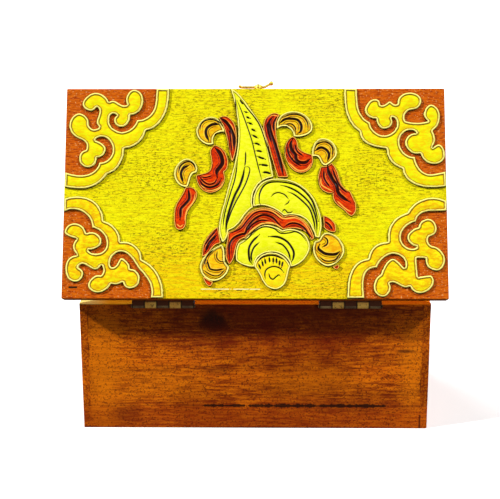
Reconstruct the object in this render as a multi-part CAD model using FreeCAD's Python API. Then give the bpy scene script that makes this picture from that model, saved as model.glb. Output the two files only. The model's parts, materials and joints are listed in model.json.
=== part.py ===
import FreeCAD, Part
import math
import os
from FreeCAD import Vector

# A low wooden keepsake box with a painted, relief-decorated lid on two small butt hinges
# and a swing hook on the lid's front edge. The lid stands open, as it is stored.
#
# Frame: the origin is the middle of the base's underside, +Z is up, the front (hook side)
# faces -Y and the hinges are at +Y. Left and right are as seen from the front, so left is -X.
# Lid pieces are drawn closed, with the lid level, and turned open as the last step.

# Driving dimensions, millimetres
BODY_WIDTH, BODY_DEPTH, BODY_HEIGHT = 185.0, 110.0, 70.0
WALL = 8.0  # thickness of the four walls
LAP = 4.0  # the rabbet: how much of an end wall's thickness laps the long walls' ends
BASE_THICK = 13.0
LID_WIDTH, LID_DEPTH, LID_THICK = 200.0, 112.0, 8.0
LID_SETBACK = 0.4  # the lid's back edge is this far in front of the back wall's face
LID_GAP = 0.8  # between the walls' top edges and the closed lid
LID_OPEN_DEG = 67.5
EASED = 0.6  # rounding of the boards' outer edges
RELIEF = 1.3  # height of the raised ornament above the lid
ORNAMENT_WIDTH, ORNAMENT_DEPTH = 200.0, 110.0  # the size that the ornament is drawn to

HINGE_LENGTH = 32.4
HINGE_CENTRES = {"left": -50.0, "right": 48.0}  # X of each hinge's middle
PIN_BEHIND, PIN_BELOW = 2.4, 0.4  # the pin's line, from the back wall's top outer edge
BARREL_R, PIN_R = 1.25, 0.6
TIGHT, RUNNING = 0.02, 0.06  # radial clearances: pin in the body's knuckles, in the lid's
KNUCKLES, KNUCKLE_GAP = 5, 0.2
LEAF_THICK, LEAF_FRONT = 0.8, 49.6  # LEAF_FRONT is the Y that both leaves reach
LEAF_LET_IN = 0.5  # how deep a leaf is let into its board
OTHER_KNUCKLE_ROOM = 0.3  # radial room that a leaf leaves round the other leaf's knuckles
PIN_HEAD_R, PIN_HEAD, PIN_PROUD = 0.9, 0.4, 0.2  # the rolled-over ends of a hinge pin
RECESS_ROOM = 0.1  # round a leaf in its recess
SCREW_HEAD_R, SCREW_R, SCREW_LENGTH = 1.6, 0.8, 6.0
SCREW_SPACING = 19.0
SLOT_WIDE, SLOT_DEEP = 0.4, 0.3

NAIL_HEAD_R, NAIL_HEAD_THICK, NAIL_R = 1.1, 0.5, 0.6
CORNER_NAIL_LENGTH, BASE_NAIL_LENGTH = 15.0, 24.0
NAIL_SUNK = 0.15
CORNER_NAIL_SHARES = (0.18, 0.5, 0.82)  # of the wall's height
BASE_NAIL_FROM_END = 20.0  # along the long walls
BASE_NAIL_ALONG_END = 24.0  # from the middle of an end wall

HOOK_X = -1.6  # X of the post that the hook turns on
WIRE_R = 0.65
POST_R, POST_COLLAR_R, POST_COLLAR, POST_DEEP = 0.9, 1.7, 1.0, 7.0
POST_HEAD_R, DOME_R = 1.6, 1.9  # the post's head, and the ball that its dome is cut from
EYE_THICK, EYE_OUTER_R, EYE_ROOM = 1.4, 2.2, 0.1  # EYE_ROOM is the play along the post
HOOK_ARM, HOOK_BEND_R = 8.4, 1.5  # from the post to the bend's middle, and the bend's radius
HOOK_TURN_DEG = 110.0  # how far the bend turns: open sideways, so that it swings onto its pin
HOOK_TIP, TIP_R = 0.1, 0.7  # the straight end after the bend, and the bead on it
SHOULDER, SHOULDER_BEND = 3.2, 1.5  # where the tail turns outwards, and how tightly
KNOB_R, KNOB_REACH, KNOB_OUT = 1.2, 6.9, 2.1
KEEPER_R, KEEPER_HEAD_R, KEEPER_DOME_R, KEEPER_DEEP = 0.7, 1.0, 1.4, 6.0
KEEPER_PLAY = 0.1  # the keeper is this far above the middle of the latched bend
KEEPER_HEAD_ROOM = 0.15  # between the latched wire and the keeper's head

# Places worked out from them
BACK = BODY_DEPTH / 2
LID_BOTTOM = BODY_HEIGHT + LID_GAP
LID_TOP = LID_BOTTOM + LID_THICK
LID_BACK = BACK - LID_SETBACK
LID_FRONT = LID_BACK - LID_DEPTH
PIN_Y, PIN_Z = BACK + PIN_BEHIND, BODY_HEIGHT - PIN_BELOW
HOOK_Z = LID_BOTTOM + LID_THICK / 2
HOOK_Y = LID_FRONT - POST_COLLAR - EYE_ROOM - EYE_THICK / 2
X_AXIS, Y_AXIS, Z_AXIS = Vector(1, 0, 0), Vector(0, 1, 0), Vector(0, 0, 1)


def block(x, y, z):
    """A box from three (low, high) pairs."""
    return Part.makeBox(x[1] - x[0], y[1] - y[0], z[1] - z[0], Vector(x[0], y[0], z[0]))


def eased(shape, keep):
    """The shape with a small rounding on the straight edges whose middle passes keep."""
    edges = [e for e in shape.Edges if keep(e.CenterOfMass)]
    return shape.makeFillet(EASED, edges)


def opened(shape):
    """A closed-lid shape, swung about the hinge pins to the angle the lid stands at."""
    turned = shape.copy()
    turned.rotate(Vector(0, PIN_Y, PIN_Z), X_AXIS, -LID_OPEN_DEG)
    return turned


def group(shapes):
    return Part.makeCompound(shapes)


def save(name, shape):
    shape.exportStep(f"parts/{name}.step")


# ---- Fasteners ----


def nail(point, into, length, loose=0.0):
    """A nail driven along into, its head just under the surface at point; loose makes its hole."""
    sunk = 0.0 if loose else NAIL_SUNK
    start = point + into * sunk
    head = Part.makeCylinder(NAIL_HEAD_R + loose, NAIL_SUNK + NAIL_HEAD_THICK - sunk, start, into)
    return head.fuse(Part.makeCylinder(NAIL_R + loose, length - sunk, start, into))


def corner_nails(loose=0.0):
    """Three nails at each corner, driven from the ends into the long walls' end grain."""
    rise = BODY_HEIGHT - BASE_THICK
    made = []
    for side in (-1, 1):
        for y in (-BACK + WALL / 2, BACK - WALL / 2):
            for share in CORNER_NAIL_SHARES:
                point = Vector(side * BODY_WIDTH / 2, y, BASE_THICK + rise * share)
                made.append(nail(point, Vector(-side, 0, 0), CORNER_NAIL_LENGTH, loose))
    return made


def base_nails(loose=0.0):
    """Nails driven up through the base into the middle of each wall."""
    along = BODY_WIDTH / 2 - BASE_NAIL_FROM_END
    side = BODY_WIDTH / 2 - WALL / 2
    places = [(x, s * (BACK - WALL / 2)) for x in (-along, 0.0, along) for s in (-1, 1)]
    places += [(s * side, t * BASE_NAIL_ALONG_END) for t in (-1, 1) for s in (-1, 1)]
    return [nail(Vector(x, y, 0), Z_AXIS, BASE_NAIL_LENGTH, loose) for x, y in places]


def leaf_screw(point, into, loose=0.0):
    """A countersunk screw flush at point; the solid screw has a slot, its hole has none."""
    cone = Part.makeCone(SCREW_HEAD_R + loose, SCREW_R + loose, LEAF_THICK, point, into)
    screw = cone.fuse(Part.makeCylinder(SCREW_R + loose, SCREW_LENGTH, point, into))
    if loose:
        return screw
    low = min(point.z, point.z + SLOT_DEEP * into.z)
    across = (point.x - SCREW_HEAD_R, point.x + SCREW_HEAD_R)
    wide = (point.y - SLOT_WIDE / 2, point.y + SLOT_WIDE / 2)
    return screw.cut(block(across, wide, (low, low + SLOT_DEEP)))


def leaf_screws(z, into, loose=0.0):
    """Both hinges' two screws through the leaves whose open face is at z."""
    y = (LEAF_FRONT + BACK) / 2
    places = [c + s * SCREW_SPACING / 2 for c in HINGE_CENTRES.values() for s in (-1, 1)]
    return [leaf_screw(Vector(x, y, z), into, loose) for x in places]


# Height of each leaf's open face, and the way its screws point
BODY_LEAF_TOP = BODY_HEIGHT - LEAF_LET_IN + LEAF_THICK
LID_LEAF_BOTTOM = LID_BOTTOM + LEAF_LET_IN - LEAF_THICK


def body_screws(loose=0.0):
    return leaf_screws(BODY_LEAF_TOP, Vector(0, 0, -1), loose)


def lid_screws(loose=0.0):
    return leaf_screws(LID_LEAF_BOTTOM, Z_AXIS, loose)


# ---- Butt hinges ----


def knuckle_spans(centre):
    """(low, high) X of each knuckle, from -X to +X."""
    step = HINGE_LENGTH / KNUCKLES
    first = centre - HINGE_LENGTH / 2
    half = KNUCKLE_GAP / 2
    return [(first + i * step + half, first + (i + 1) * step - half) for i in range(KNUCKLES)]


def barrel(span, radius, longer=0.0):
    start = Vector(span[0] - longer, PIN_Y, PIN_Z)
    return Part.makeCylinder(radius, span[1] - span[0] + 2 * longer, start, X_AXIS)


def hinge_leaf(centre, low, on_lid):
    """A leaf with its own knuckles: the lid's are the second and fourth of the five."""
    spans = knuckle_spans(centre)
    own = [s for i, s in enumerate(spans) if (i % 2 == 1) == on_lid]
    other = [s for s in spans if s not in own]
    whole = (centre - HINGE_LENGTH / 2, centre + HINGE_LENGTH / 2)
    leaf = block(whole, (LEAF_FRONT, PIN_Y), (low, low + LEAF_THICK))
    for span in own:
        leaf = leaf.fuse(barrel(span, BARREL_R))
    for span in other:
        leaf = leaf.cut(barrel(span, BARREL_R + OTHER_KNUCKLE_ROOM, KNUCKLE_GAP))
    bore = barrel(whole, PIN_R + (RUNNING if on_lid else TIGHT), 1.0)
    leaf = leaf.cut(bore).removeSplitter()
    for hole in lid_screws(TIGHT) if on_lid else body_screws(TIGHT):
        leaf = leaf.cut(hole)
    return leaf


def hinge_pin(centre):
    """A pin with a small rolled-over head at each end."""
    half = HINGE_LENGTH / 2
    pin = barrel((centre - half, centre + half), PIN_R, PIN_PROUD)
    for side in (-1, 1):
        near = centre + side * (half + PIN_PROUD)
        pin = pin.fuse(barrel(sorted((near, near + side * PIN_HEAD)), PIN_HEAD_R))
    return pin


def leaf_recess(centre, z):
    """The shallow pocket that a leaf lies in, cut through the board's back edge."""
    half = HINGE_LENGTH / 2 + RECESS_ROOM
    return block((centre - half, centre + half), (LEAF_FRONT - RECESS_ROOM, BACK + 1), z)


# ---- Box body ----


def base_board():
    board = block((-BODY_WIDTH / 2, BODY_WIDTH / 2), (-BACK, BACK), (0, BASE_THICK))
    board = eased(board, lambda c: c.z < BASE_THICK - 0.1)
    for hole in base_nails(TIGHT):
        board = board.cut(hole)
    return board


def long_wall(side):
    """Front (side -1) or back (side 1) wall, between the end walls' lips."""
    half = BODY_WIDTH / 2 - LAP
    y = sorted((side * (BACK - WALL), side * BACK))
    wall = block((-half, half), y, (BASE_THICK, BODY_HEIGHT))
    for hole in corner_nails(TIGHT) + base_nails(TIGHT):
        wall = wall.cut(hole)
    return wall


def back_wall():
    wall = long_wall(1)
    for centre in HINGE_CENTRES.values():
        wall = wall.cut(leaf_recess(centre, (BODY_HEIGHT - LEAF_LET_IN, BODY_HEIGHT + 1)))
    for hole in body_screws(TIGHT):
        wall = wall.cut(hole)
    return wall


def front_wall():
    return long_wall(-1).cut(keeper_pin(TIGHT))


def end_wall(side):
    """An end wall, rabbeted at both ends so that only its outer lip reaches the corners."""
    outer = side * BODY_WIDTH / 2
    lip = side * (BODY_WIDTH / 2 - LAP)
    inner = side * (BODY_WIDTH / 2 - WALL)
    z = (BASE_THICK, BODY_HEIGHT)
    wall = block(sorted((lip, outer)), (-BACK, BACK), z)
    wall = eased(wall, lambda c: abs(c.x - outer) < 0.1 and abs(c.y) > BACK - 0.1)
    wall = wall.fuse(block(sorted((inner, lip)), (WALL - BACK, BACK - WALL), z)).removeSplitter()
    for hole in corner_nails(TIGHT) + base_nails(TIGHT):
        wall = wall.cut(hole)
    return wall


# ---- Lid board and latch ----


def lid_board():
    half = LID_WIDTH / 2
    board = block((-half, half), (LID_FRONT, LID_BACK), (LID_BOTTOM, LID_TOP))
    board = eased(board, lambda c: True)
    for centre in HINGE_CENTRES.values():
        board = board.cut(leaf_recess(centre, (LID_BOTTOM - 1, LID_BOTTOM + LEAF_LET_IN)))
    for hole in lid_screws(TIGHT) + [latch_post(TIGHT)]:
        board = board.cut(hole)
    return board


def dome(point, out, radius, ball_r):
    """A round head standing on point: the cap of a ball, radius wide at its foot."""
    centre = point - out * math.sqrt(ball_r**2 - radius**2)
    ball = Part.makeSphere(ball_r, centre, out)
    return ball.common(Part.makeCylinder(ball_r, ball_r, point, out))


def latch_post(loose=0.0):
    """Round-headed screw with a collar, in the lid's front edge; loose makes its hole."""
    edge = Vector(HOOK_X, LID_FRONT, HOOK_Z)
    out = Vector(0, -1, 0)
    shank = Part.makeCylinder(POST_R + loose, POST_DEEP, edge, Y_AXIS)
    if loose:
        return shank
    span = POST_COLLAR + EYE_THICK + 2 * EYE_ROOM
    post = shank.fuse(Part.makeCylinder(POST_R, span, edge, out))
    post = post.fuse(Part.makeCylinder(POST_COLLAR_R, POST_COLLAR, edge, out))
    head = dome(edge + out * span, out, POST_HEAD_R, DOME_R)
    top = head.BoundBox.YMin
    slot = block((HOOK_X - DOME_R, HOOK_X + DOME_R), (top, top + SLOT_DEEP),
                 (HOOK_Z - SLOT_WIDE / 2, HOOK_Z + SLOT_WIDE / 2))
    return post.fuse(head.cut(slot))


def keeper_pin(loose=0.0):
    """Round-headed pin in the front wall that the hook's bend catches; loose makes its hole."""
    face = Vector(HOOK_X + HOOK_BEND_R, -BACK, HOOK_Z - HOOK_ARM + KEEPER_PLAY)
    out = Vector(0, -1, 0)
    shank = Part.makeCylinder(KEEPER_R + loose, KEEPER_DEEP, face, Y_AXIS)
    if loose:
        return shank
    reach = -BACK - HOOK_Y + WIRE_R + KEEPER_HEAD_ROOM
    pin = shank.fuse(Part.makeCylinder(KEEPER_R, reach, face, out))
    return pin.fuse(dome(face + out * reach, out, KEEPER_HEAD_R, KEEPER_DOME_R))


def bent_rod(points, bend):
    """A round wire through the points: straight runs joined by tangent arcs of radius bend."""
    edges, last = [], points[0]
    for before, corner, after in zip(points, points[1:], points[2:]):
        back, on = (before - corner).normalize(), (after - corner).normalize()
        half = back.getAngle(on) / 2
        enter, leave = corner + back * bend / math.tan(half), corner + on * bend / math.tan(half)
        middle = corner + (back + on).normalize() * (bend / math.sin(half) - bend)
        if (enter - last).Length > 1e-6:
            edges.append(Part.LineSegment(last, enter).toShape())
        edges.append(Part.Arc(enter, middle, leave).toShape())
        last = leave
    edges.append(Part.LineSegment(last, points[-1]).toShape())
    section = Part.Wire([Part.Circle(points[0], points[1] - points[0], WIRE_R).toShape()])
    return Part.Wire(edges).makePipeShell([section], True, True)


def latch_hook():
    """Brass hook: an eye round the post, an arm with a bend at its end, and a finger knob."""
    centre = Vector(HOOK_X, HOOK_Y, HOOK_Z)
    foot = centre - Y_AXIS * EYE_THICK / 2
    hole_r = POST_R + RUNNING
    inside_wall = X_AXIS * (hole_r + EYE_OUTER_R) / 2
    eye = Part.makeCylinder(EYE_OUTER_R, EYE_THICK, foot, Y_AXIS)
    eye = eye.cut(Part.makeCylinder(hole_r, EYE_THICK, foot, Y_AXIS))
    turn = math.radians(HOOK_TURN_DEG)
    reach = HOOK_BEND_R * math.tan(turn / 2)
    corner = centre + X_AXIS * (HOOK_ARM + reach)
    back = Vector(math.cos(turn), 0, math.sin(turn))
    tip = corner + back * (reach + HOOK_TIP)
    arm = bent_rod([centre + inside_wall, corner, tip], HOOK_BEND_R)
    knob = centre - X_AXIS * KNOB_REACH - Y_AXIS * KNOB_OUT
    tail = bent_rod([centre - inside_wall, centre - X_AXIS * SHOULDER, knob], SHOULDER_BEND)
    outwards = -X_AXIS * (KNOB_REACH - SHOULDER) - Y_AXIS * KNOB_OUT
    hook = eye.fuse(arm).fuse(tail).fuse(Part.makeSphere(TIP_R, tip, back))
    return hook.fuse(Part.makeSphere(KNOB_R, knob, outwards))


# ---- Raised ornament ----
# An outline is a start point and runs. Each run is a smooth curve that goes on from the last
# point through its own points, and two runs meet in a corner. Points are (across, up) on the
# lid as seen from behind with the lid open: across grows towards -X, and up is the distance
# from the hinged edge on a lid ORNAMENT_DEPTH deep.

CORNERS = {
    "corner_scroll_front_right": [
        [(-45.3, 109.8), (-45.7, 102), (-47.5, 95.5), (-51.5, 90), (-57.3, 87.2)],
        [(-58.6, 83.8), (-62, 80), (-68.6, 77.8)],
        [(-69.2, 73), (-72, 67.5), (-77.4, 64.3)],
        [(-80.5, 60.5), (-86, 57.3), (-93, 56.6), (-99.7, 57.4)],
        [(-99.7, 65.6)],
        [(-95, 64.3), (-89, 64.1), (-84.6, 66), (-81.8, 70.6)],
        [(-78.2, 71.5), (-75.3, 75), (-75.6, 80), (-79, 83.5), (-84.1, 82.3)],
        [(-80.8, 80.9), (-78.3, 78), (-79, 74.8), (-83, 73)],
        [(-84, 69.3), (-88, 67.6), (-92, 70.3), (-92.2, 74.7), (-88.9, 77.2)],
        [(-90, 81.5), (-94.5, 83.8), (-97.8, 88), (-97.6, 93), (-93.3, 96.7), (-89, 94.8),
         (-87.7, 90.5)],
        [(-85.5, 88.3), (-82.2, 89.2)],
        [(-83.6, 93), (-82.4, 97.5), (-83.6, 99.8)],
        [(-88.3, 97.8), (-91.4, 100.8), (-89.3, 105.5), (-84.5, 107.7), (-80, 106.2),
         (-77.2, 102.8)],
        [(-74.3, 103.3), (-71.5, 101.7), (-67.6, 101.2)],
        [(-68.2, 105.5), (-64.5, 109.3), (-60.4, 107.6), (-59, 103.3), (-60.6, 98),
         (-65.9, 95.4)],
        [(-66.2, 92.3), (-69.7, 89.1), (-73.6, 90.4), (-74.6, 93), (-73, 95.4)],
        [(-75.6, 95.9), (-76.8, 92.5), (-74.3, 88.3), (-69.5, 86.8), (-65.2, 88.7),
         (-62.4, 93.2)],
        [(-57.5, 94.3), (-54, 98), (-52.7, 104), (-52.3, 109.8)],
    ],
    "corner_scroll_front_left": [
        [(46.9, 109.8), (47.2, 100), (49.2, 93), (54.8, 86.6)],
        [(57, 81.5), (62, 78.8), (68.8, 77.6)],
        [(70, 72.5), (77, 67)],
        [(80, 61), (86.5, 57.8), (93, 57.2), (99.7, 57.8)],
        [(99.7, 66)],
        [(94.5, 64.8), (89, 65), (85.6, 68.2), (83.8, 73.6)],
        [(79.3, 74.8), (76.2, 79), (76.6, 84.2), (80, 87), (84.8, 85.9)],
        [(80.5, 84.8), (78.5, 81.3), (80, 77), (86.5, 75.1)],
        [(88.5, 71.4), (93.5, 69.4), (98.6, 71.6), (99.4, 76), (97.6, 79.6), (93, 78.4)],
        [(94.5, 82.5), (93.3, 87.1)],
        [(96, 89.8), (97.3, 94.5), (95.8, 99.5), (92.3, 101.2), (89.8, 99.4), (90.6, 92.3)],
        [(86, 91.6), (79.2, 92.4)],
        [(79, 95.5), (80.8, 97.6), (84.5, 98.5), (87.3, 101), (87.5, 104.5), (84.5, 107.2),
         (80.5, 107.6), (76.6, 106), (75, 101.6)],
        [(73, 101.6), (71, 103), (69, 101.8), (66, 101)],
        [(64.8, 103.8), (61.8, 104), (58.6, 101), (57.6, 98), (59.3, 94.8), (63.7, 93.5)],
        [(64.3, 90.5), (67.2, 88), (70.3, 88.6), (71.7, 94.2)],
        [(73.8, 93.2), (74.2, 89.8), (71.3, 86), (67, 84.9), (62.8, 87), (60.6, 91.8)],
        [(57.5, 93.8), (55, 98), (54.1, 104), (53.8, 109.8)],
    ],
    "corner_scroll_back_right": [
        [(-47.1, 0.3), (-47.6, 7), (-51.5, 15), (-58.5, 20.2)],
        [(-59.8, 25), (-64, 28.5), (-69.8, 29.2)],
        [(-70.6, 33.5), (-74, 37.8), (-78.8, 40)],
        [(-80, 45.5), (-84, 50.3), (-91.5, 52.8), (-99.7, 51.5)],
        [(-99.7, 44.3)],
        [(-95.5, 45.7), (-90, 44.5), (-86.2, 41), (-84.8, 36.3)],
        [(-80, 34), (-77.2, 29.5), (-78.3, 24.8), (-82, 23.2), (-86.4, 24.9)],
        [(-82.5, 25.5), (-79.4, 28.5), (-80.8, 32.5), (-84, 34.2), (-87.6, 33.6)],
        [(-90, 37.6), (-93.5, 38.9), (-98, 37), (-99, 33.5), (-96.8, 31.8), (-92.8, 30.6)],
        [(-94.6, 27), (-92.3, 22.3)],
        [(-97, 20), (-98.2, 14.5), (-95.8, 9.3), (-91.3, 8.5), (-88.6, 11.5), (-91.3, 16)],
        [(-89.6, 17.4), (-84.5, 15.2), (-79.4, 17)],
        [(-78.6, 13.8), (-79.5, 12)],
        [(-84.5, 10.5), (-86.2, 6.3), (-82.5, 3), (-77.8, 3.6), (-74.2, 7.4)],
        [(-71.3, 7), (-68.2, 8.3)],
        [(-65, 5), (-60.5, 6.5), (-59.2, 11), (-61.3, 14.5), (-64.5, 15.3)],
        [(-66.7, 19.8), (-69.5, 20.9), (-71.3, 18), (-74.2, 16.2)],
        [(-74.2, 20.5), (-69.5, 23.8), (-65, 21.8), (-60.5, 15.8), (-56, 10.5), (-53.7, 0.3)],
    ],
    "corner_scroll_back_left": [
        [(47.6, 0.3), (47.9, 8), (51.3, 17), (58.6, 20.8)],
        [(61.5, 26.8), (68.9, 29.4)],
        [(70.6, 38.5), (79.2, 44.5)],
        [(85, 50.4), (92.5, 52.3), (99.7, 50.4)],
        [(99.7, 45.3)],
        [(93, 45), (87.5, 44.2), (83.6, 39.5)],
        [(79, 37.3), (76, 33), (76.6, 28.8), (80.5, 26), (84, 26.8)],
        [(80.3, 28.3), (78.7, 31.5), (80.5, 34.8), (84.8, 36.8)],
        [(87, 40.5), (91.5, 41), (94.3, 37.3), (90.3, 31.8)],
        [(89.9, 29.5), (91.6, 27.3)],
        [(96.5, 24.8), (98.4, 19.5), (95.3, 14.6), (90.8, 15), (88.2, 20.7)],
        [(83.6, 20.8)],
        [(83.9, 16), (84.3, 11.4)],
        [(87.5, 12), (91, 12.3)],
        [(92.4, 8.5), (89.3, 4.2), (84.5, 2.8), (79.8, 6.3)],
        [(75.5, 6.3), (72.3, 8), (69.5, 8)],
        [(69.8, 3.8), (66.5, 1), (62.2, 2.8), (61.4, 8), (64.9, 12.6)],
        [(67.3, 17.8), (71.3, 20.8), (74.5, 19), (77.2, 15.9)],
        [(77.2, 19.5), (72.3, 22.8), (67, 21), (63.3, 15.8)],
        [(58, 13.8), (56.2, 8), (56.6, 0.3)],
    ],
}

SHELL = {
    "conch_canal": [
        [(-12.6, 109.5), (-8.5, 106.2), (-3.5, 99.7), (2.8, 90.3), (6.6, 78.5), (9.4, 62.8)],
        [(6.3, 62.2), (2.4, 59.9), (-0.6, 55.5), (-1.2, 47)],
        [(-4.3, 44.6), (-7.8, 39.8), (-13.9, 35.3)],
        [(-15, 31), (-16.6, 29)],
        [(-18.4, 35.5), (-16.8, 45.5), (-13.6, 58), (-10.4, 70), (-8.6, 82), (-9.8, 98),
         (-12.6, 109.5)],
    ],
    "conch_whorl": [
        [(-0.4, 47.6), (0.1, 54.5), (4, 59.8), (11, 61.8), (19.5, 60.6), (27, 56), (32.5, 47.5),
         (34.5, 38), (33.2, 31.4)],
        [(31.6, 31.9)],
        [(29.8, 36.6), (26, 41.4), (21.5, 43.2), (15.2, 42.9)],
        [(12, 45.3), (7, 47.7), (-0.4, 47.6)],
    ],
    "silk_sash": [
        [(-13.6, 34.2), (-7.2, 38.6), (-3.6, 43.6), (2, 46.4), (8, 46.2), (14.9, 41.9)],
        [(21.5, 42.3), (26.3, 39.2), (30.6, 31)],
        [(29.2, 30.2)],
        [(25.5, 35), (20, 36.4), (14.6, 35.7)],
        [(10, 38.2), (4.5, 38.4), (-1, 35.2), (-5, 31.4)],
        [(-8.8, 29), (-10.6, 22.5), (-13.2, 17.8)],
        [(-14.9, 23), (-14.2, 29.5), (-13.6, 34.2)],
    ],
    "conch_crown": [
        [(-8.3, 28.4), (-5, 30.4), (-1, 34.1), (4.5, 37.4), (10, 36.9), (14.4, 34.8)],
        [(20, 35.5), (25.5, 33), (28.3, 27.5), (25.5, 20.5), (18.8, 16.6)],
        [(17, 20.6), (9, 24.2), (2.5, 22.2), (-0.3, 16.5)],
        [(-5, 17.2), (-9.3, 19.5)],
        [(-9.5, 24), (-8.3, 28.4)],
    ],
    "conch_spire": [
        [(0.1, 16.2), (2.8, 21.6), (9, 23.6), (16.2, 20.2), (18.3, 16.6)],
        [(16.8, 11.5), (15.2, 7.4), (10.8, 5), (5.8, 7), (3.4, 10.8), (0.1, 16.2)],
    ],
}

# Each ribbon node holds several separate folds: {node: [outline, ...]}
RIBBONS = {
    "right_ribbon_folds": [
        [
            [(-19, 93.9), (-15.5, 94.8), (-11.2, 91), (-9.8, 84), (-10.6, 75), (-11.9, 70.9)],
            [(-13.6, 78), (-15.6, 87), (-19, 93.9)],
        ],
        [
            [(-21.4, 79.4), (-17.5, 77.8), (-14.6, 72.8), (-14.8, 67.4), (-16.6, 65.5)],
            [(-16, 61), (-19, 56.2), (-24.5, 54.9), (-29, 58.2), (-30.4, 63.8)],
            [(-27, 64.4), (-23.8, 66), (-22.6, 71), (-23.3, 76), (-21.4, 79.4)],
        ],
        [
            [(-36.4, 56.8), (-33, 57.3), (-30.6, 55), (-31.6, 50), (-34.8, 45.6), (-36, 40),
             (-37.3, 36), (-39.8, 35.6), (-41.8, 41.5), (-41, 48), (-37.8, 53.5), (-36.4, 56.8)],
        ],
        [
            [(-19.3, 36.6), (-23.8, 32.5), (-26.8, 26), (-27, 21.7)],
            [(-24, 23.8), (-21, 27.3), (-17.8, 28.5)],
            [(-18.6, 32.5), (-19.3, 36.6)],
        ],
        [[(-26.2, 11.1), (-25.2, 8), (-23.4, 6.6), (-21.8, 8.6)], [(-24.2, 9.6), (-26.2, 11.1)]],
    ],
    "right_ribbon_curls": [
        [
            [(-16.1, 86.6), (-17.3, 89.8), (-19.8, 93.5)],
            [(-24.5, 94.3), (-29, 91.5), (-30.8, 86.5), (-28.5, 82), (-24, 79.9), (-21.8, 80.4)],
            [(-22, 83.5), (-19.5, 86.2), (-16.1, 86.6)],
        ],
        [
            [(-30.7, 65.2), (-31.5, 70), (-35.5, 72.3), (-40.5, 69.3), (-42.1, 63.5), (-39, 58.6),
             (-35.4, 57.7)],
            [(-34, 62), (-32.6, 64.6), (-30.7, 65.2)],
        ],
        [
            [(-17.2, 27.6), (-20.5, 26), (-25, 22.5), (-28, 17.5), (-26.8, 12.3), (-21.5, 9.2),
             (-17, 10.5), (-13.4, 16.6)],
            [(-15.4, 19), (-15.8, 24), (-17.2, 27.6)],
        ],
    ],
    "left_ribbon_folds": [
        [
            [(12.2, 62.9), (9.8, 70), (6.8, 80.5), (4.6, 88), (6, 94), (9, 96.2), (12.8, 95.6)],
            [(11, 91.5), (10.9, 86), (13.2, 75), (17.2, 62.9)],
            [(12.2, 62.9)],
        ],
        [
            [(19.6, 83.9), (21.8, 82), (22.6, 78.5), (25.5, 75.9), (29.6, 74.6)],
            [(30, 70), (27, 66), (22.8, 65.4), (18, 69), (15.7, 75.5), (16.7, 81), (19.6, 83.9)],
        ],
        [
            [(34.6, 68.2), (33.3, 63), (34, 58), (40.8, 54.6)],
            [(42, 49.5), (47, 45.3), (50.5, 42.8), (52.2, 45), (51.5, 51), (49.4, 55.4)],
            [(46, 57.5), (43.5, 63.5), (40, 70)],
            [(37.3, 68.4), (34.6, 68.2)],
        ],
        [
            [(35.8, 42.6), (39.5, 40.8), (41.8, 37.5), (41.6, 34.4)],
            [(38, 35.1), (36, 36.6)],
            [(35.8, 42.6)],
        ],
        [[(40.4, 16.4), (41.9, 17), (43.4, 17.3), (43.3, 16.2), (41.6, 15.4)], [(40.4, 16.4)]],
    ],
    "left_ribbon_curls": [
        [
            [(11.6, 90.6), (13.6, 95), (18.5, 97.2), (24.5, 96.4), (29, 92.5), (29.8, 87.5),
             (26.3, 84.8), (20.4, 84.4)],
            [(19.6, 87.2), (16, 89.6), (11.6, 88.2)],
            [(11.6, 90.6)],
        ],
        [
            [(30.1, 75.2), (30.6, 79), (33.5, 82.6), (38, 82.6), (41.8, 79.5), (42.6, 74.5),
             (40.4, 71.3), (37, 68.9)],
            [(34.7, 70.6), (33.4, 73), (30.1, 73.6)],
            [(30.1, 75.2)],
        ],
        [
            [(31.2, 29.6), (33.8, 30.6), (35.6, 33.2), (39, 33.6), (44, 30.3), (46.2, 24.5),
             (43, 19.2), (37.5, 16.9), (32.8, 19.6), (30.4, 26.8)],
            [(31.2, 29.6)],
        ],
    ],
}


def on_lid(point):
    """The place of an ornament point on the closed lid's top."""
    across, up = point
    depth_share = up / ORNAMENT_DEPTH
    return Vector(-across * LID_WIDTH / ORNAMENT_WIDTH, LID_BACK - depth_share * LID_DEPTH, LID_TOP)


def raised(runs):
    """A plate RELIEF high, with the outline that the runs draw."""
    start = on_lid(runs[0][0])
    last, edges = start, []
    for number, run in enumerate(runs):
        places = [on_lid(p) for p in (run[1:] if number == 0 else run)]
        if len(places) == 1:
            edges.append(Part.LineSegment(last, places[0]).toShape())
        else:
            curve = Part.BSplineCurve()
            curve.interpolate([last] + places)
            edges.append(curve.toShape())
        last = places[-1]
    if (last - start).Length > 1e-6:
        edges.append(Part.LineSegment(last, start).toShape())
    face = Part.Face(Part.Wire(edges))
    return face.extrude(Vector(0, 0, RELIEF))


# ---- All the pieces ----

BODY_PIECES = {
    "base_board": base_board(),
    "back_wall": back_wall(),
    "front_wall": front_wall(),
    "left_end_wall": end_wall(-1),
    "right_end_wall": end_wall(1),
    "corner_nails": group(corner_nails()),
    "base_nails": group(base_nails()),
    "hinge_body_screws": group(body_screws()),
    "keeper_pin": keeper_pin(),
}
LID_PIECES = {
    "lid_board": lid_board(),
    "hinge_lid_screws": group(lid_screws()),
    "latch_post": latch_post(),
    "latch_hook": latch_hook(),
}
for side, middle in HINGE_CENTRES.items():
    BODY_PIECES[f"{side}_hinge_body_leaf"] = hinge_leaf(middle, BODY_HEIGHT - LEAF_LET_IN, False)
    BODY_PIECES[f"{side}_hinge_pin"] = hinge_pin(middle)
    LID_PIECES[f"{side}_hinge_lid_leaf"] = hinge_leaf(middle, LID_LEAF_BOTTOM, True)
for name, runs in {**CORNERS, **SHELL}.items():
    LID_PIECES[name] = raised(runs)
for name, outlines in RIBBONS.items():
    LID_PIECES[name] = group([raised(runs) for runs in outlines])

os.makedirs("parts", exist_ok=True)
for name, shape in BODY_PIECES.items():
    save(name, shape)
for name, shape in LID_PIECES.items():
    save(name, opened(shape))

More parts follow.
